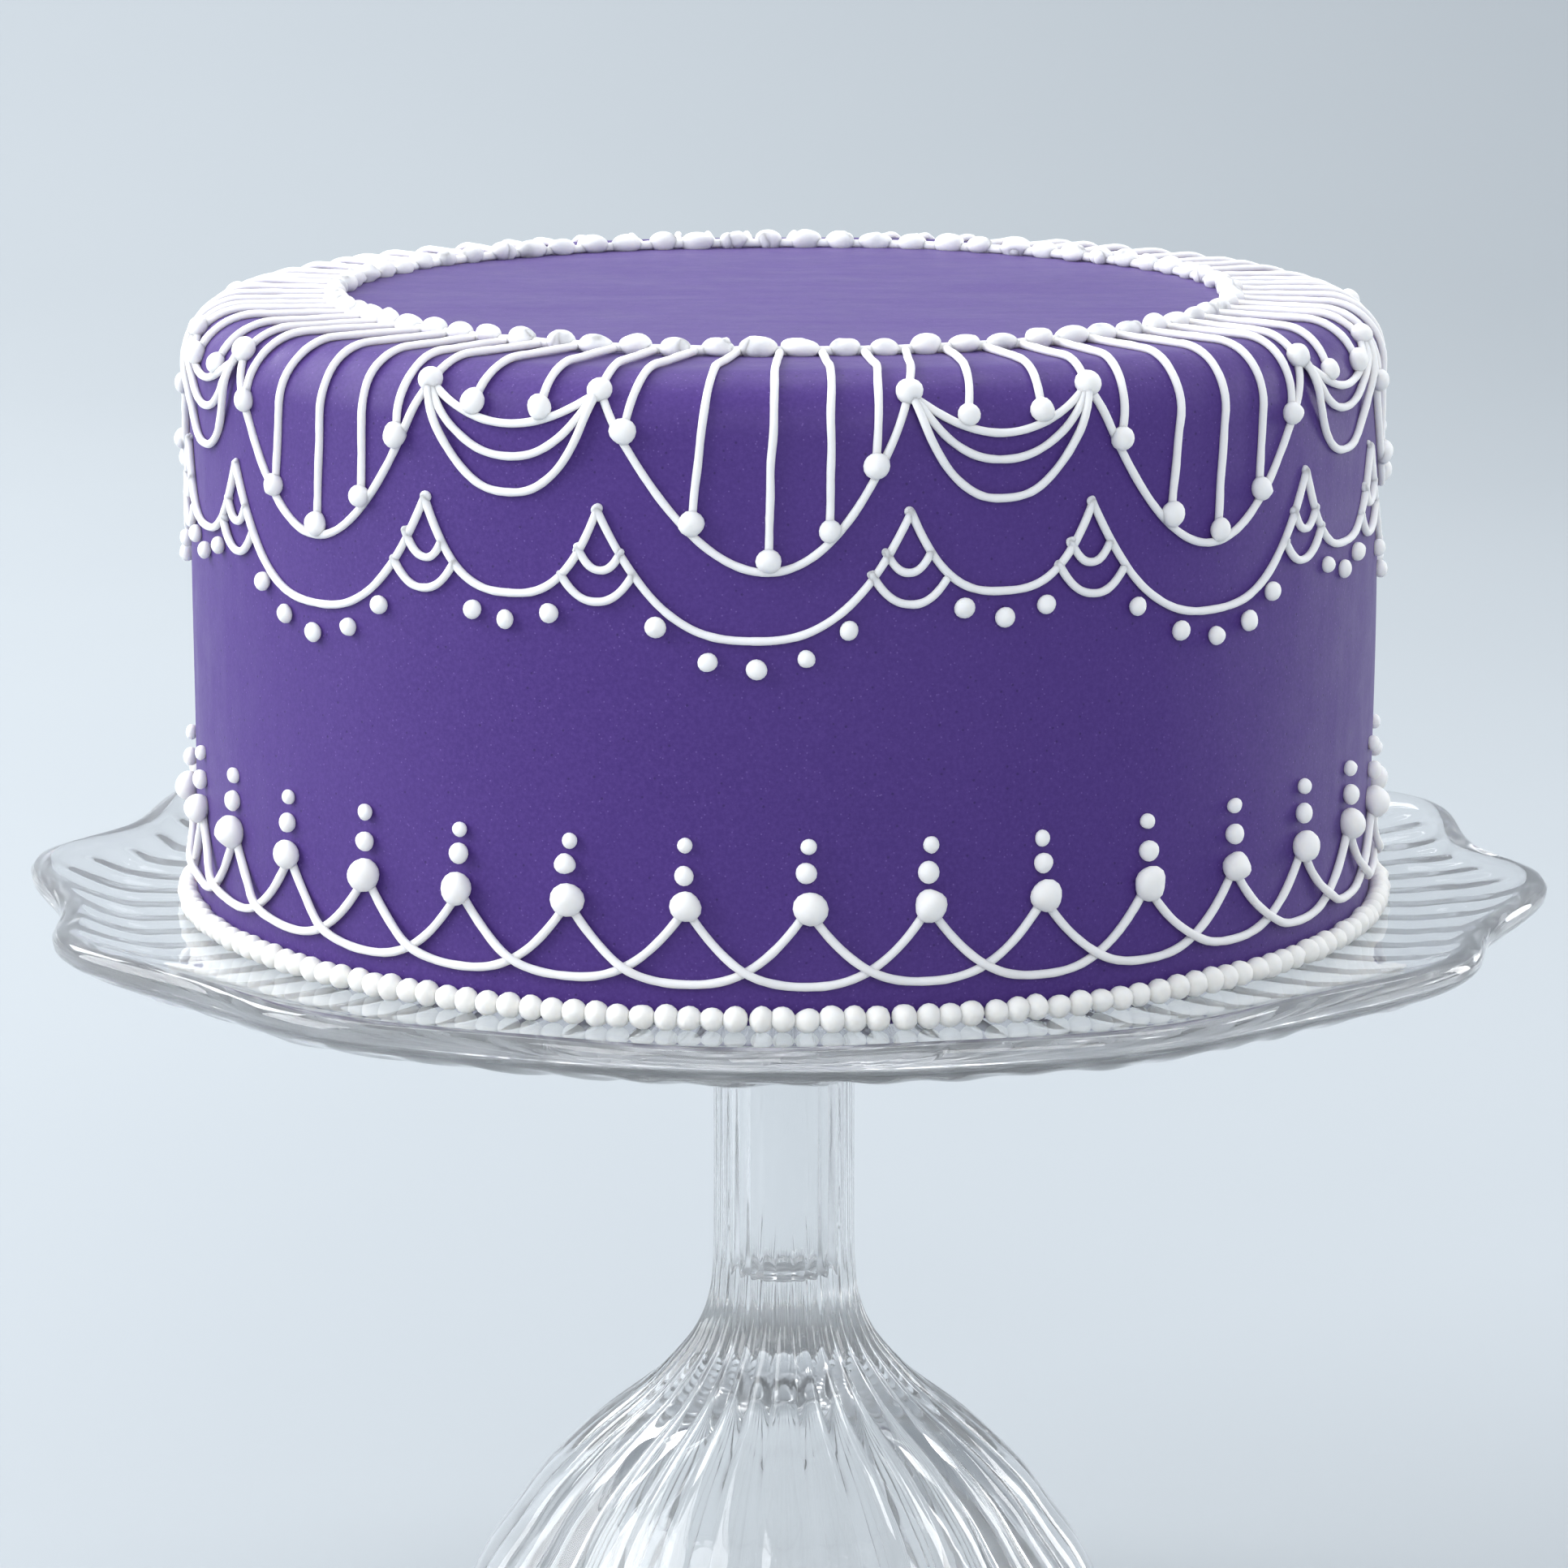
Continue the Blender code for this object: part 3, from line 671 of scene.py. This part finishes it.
def base_loops(first, icing, node):
    """Loops from every second post round the foot of the cake, with each post's bead and dots."""
    shell = Shell()
    step = 360 / POSTS
    for post in range(first, POSTS, 2):
        here, there = lattice_mark(post * step), lattice_mark((post + 2) * step)
        if post + 2 >= POSTS:
            there = lattice_mark((post + 2 - POSTS) * step) + 360
        low = LOOP_LOW + rng.normal(0, 0.35) * MM
        u = shares((there - here) / 2, low, POST_HEIGHT)
        middle, half = (here + there) / 2, (there - here) / 2
        over = CROSSING_LIFT * np.exp(-(((u + 0.5) / 0.2) ** 2))
        travel = sag(u, low, POST_HEIGHT, LOOP_POWER)
        pipe(shell, middle + half * u, travel, width=1.45 * MM, lift=over, loose=0.15 * MM)
        bead(shell, here + rng.normal(0, 0.08), POST_HEIGHT + 0.4 * MM, POST_BEAD, lump=0.05)
        for height, size in POST_DOTS:
            bead(shell, here + rng.normal(0, 0.12), height + rng.normal(0, 0.25) * MM, size)
    return place(shell.build("piped_" + node, icing), "cake", "icing", node)


def top_ring(icing):
    """Elongated beads round the top, each ending in a neck where a string starts."""
    shell = Shell()
    pitch = 360 / RING_BEADS
    travel = WALL_TOP + ARC + CAKE_RADIUS - EDGE_RADIUS - RING_RADIUS
    for number in range(RING_BEADS):
        angle = ring_neck(number + 0.5) + rng.normal(0, 0.12)
        length = RING_RADIUS * math.radians(pitch) * rng.uniform(0.70, 0.94)
        size = (length, 3.9 * MM * rng.uniform(0.9, 1.1), 3.5 * MM * rng.uniform(0.9, 1.08))
        lean = rng.normal(0, 0.12)
        blob(shell, angle, travel + rng.normal(0, 0.2) * MM, size, lump=0.05, peak=0.4, turn=lean)
        for _ in range(rng.integers(1, 3)):
            part = rng.uniform(0.45, 0.6)
            shift = rng.uniform(-0.2, 0.2) * pitch
            near = travel + rng.normal(0, 0.3) * MM
            extra = (length * part, 4.8 * MM * part, size[2] * rng.uniform(0.80, 0.92))
            blob(shell, angle + shift, near, extra, lump=0.04, away=0.36)
        neck = ring_neck(number) + np.linspace(-1.6, 1.6, 7)
        pipe(shell, neck, np.full(7, travel), width=1.6 * MM)
    return place(shell.build("top_bead_ring", icing), "cake", "icing", "top_border_and_strings")


def base_border(icing):
    """Beads round the foot of the cake, each flat where it rests on the glass."""
    shell = Shell()
    pitch = 360 / BASE_BEADS
    for number in range(BASE_BEADS):
        angle = pitch * (number + rng.normal(0, 0.05))
        size = rng.uniform(0.95, 1.06)
        blob(shell, angle, 2.05 * MM * size, (4.25 * MM, 4.2 * MM * size, 3.9 * MM * size),
             lump=0.03, peak=0.65, away=0.42)
    for points in shell.points:
        points[:, 2] = np.maximum(points[:, 2], PLATE_TOP + BEAD_GAP)
    return place(shell.build("base_beads", icing), "cake", "icing", "base_bead_border")


def piping():
    icing = icing_look("royal_icing", 0.0)
    border = icing_look("royal_icing_border", 0.015)
    top_ring(icing)
    base_border(border)
    base_loops(0, icing, "base_loops_inner")
    base_loops(1, icing, "base_loops_outer")
    for index in range(REPEATS):
        garland(index, icing)
        scallop(index, icing)


# Stage


def backdrop():
    """A plain pale floor that sweeps up into a wall of the same colour."""
    curve = rounded(SWEEP, 0.08)
    points = [(x, y, z) for y, z in curve for x in (-SWEEP_SIDE, SWEEP_SIDE)]
    faces = [(2 * i, 2 * i + 1, 2 * i + 3, 2 * i + 2) for i in range(len(curve) - 1)]
    mesh = bpy.data.meshes.new("sweep")
    mesh.from_pydata(points, [], faces)
    mesh.polygons.foreach_set("use_smooth", np.ones(len(faces), dtype=bool))
    look = Look("sweep", Roughness=0.9)
    look.colour(look.blend(look.noise(3, 2), (0.405, 0.435, 0.457), (0.385, 0.415, 0.438)))
    mesh.materials.append(look.material)
    sweep = bpy.data.objects.new("sweep", mesh)
    bpy.context.scene.collection.objects.link(sweep)


def area_light(name, place_at, aim, size, power, colour):
    data = bpy.data.lights.new(name, "AREA")
    data.shape = "RECTANGLE"
    data.size, data.size_y = size
    data.energy = power
    data.color = colour
    lamp = bpy.data.objects.new(name, data)
    bpy.context.scene.collection.objects.link(lamp)
    lamp.location = place_at
    lamp.rotation_euler = (Vector(aim) - Vector(place_at)).to_track_quat("-Z", "Y").to_euler()


def lights():
    world = bpy.data.worlds.new("room")
    bpy.context.scene.world = world
    world.use_nodes = True
    background = world.node_tree.nodes["Background"]
    background.inputs["Color"].default_value = SKY
    background.inputs["Strength"].default_value = SKY_STRENGTH
    for light in LIGHTS:
        area_light(*light)


def camera():
    data = bpy.data.cameras.new("camera")
    data.sensor_width = 36
    data.lens = LENS
    made = bpy.data.objects.new("camera", data)
    made.location = CAMERA_AT
    made.rotation_euler = (math.radians(90 - CAMERA_TILT), 0, 0)
    bpy.context.scene.collection.objects.link(made)
    bpy.context.scene.camera = made


def main():
    camera()
    glass = glass_look()
    glass_plate(glass)
    glass_pedestal(glass)
    cake_cover(fondant_look())
    cake_board(board_look())
    inner_layers(sponge_look(), cream_look())
    piping()
    backdrop()
    lights()
    scene = bpy.context.scene
    scene.view_settings.view_transform = "Standard"
    scene.cycles.max_bounces = BOUNCES
    scene.cycles.glossy_bounces = BOUNCES
    scene.cycles.transmission_bounces = BOUNCES


main()
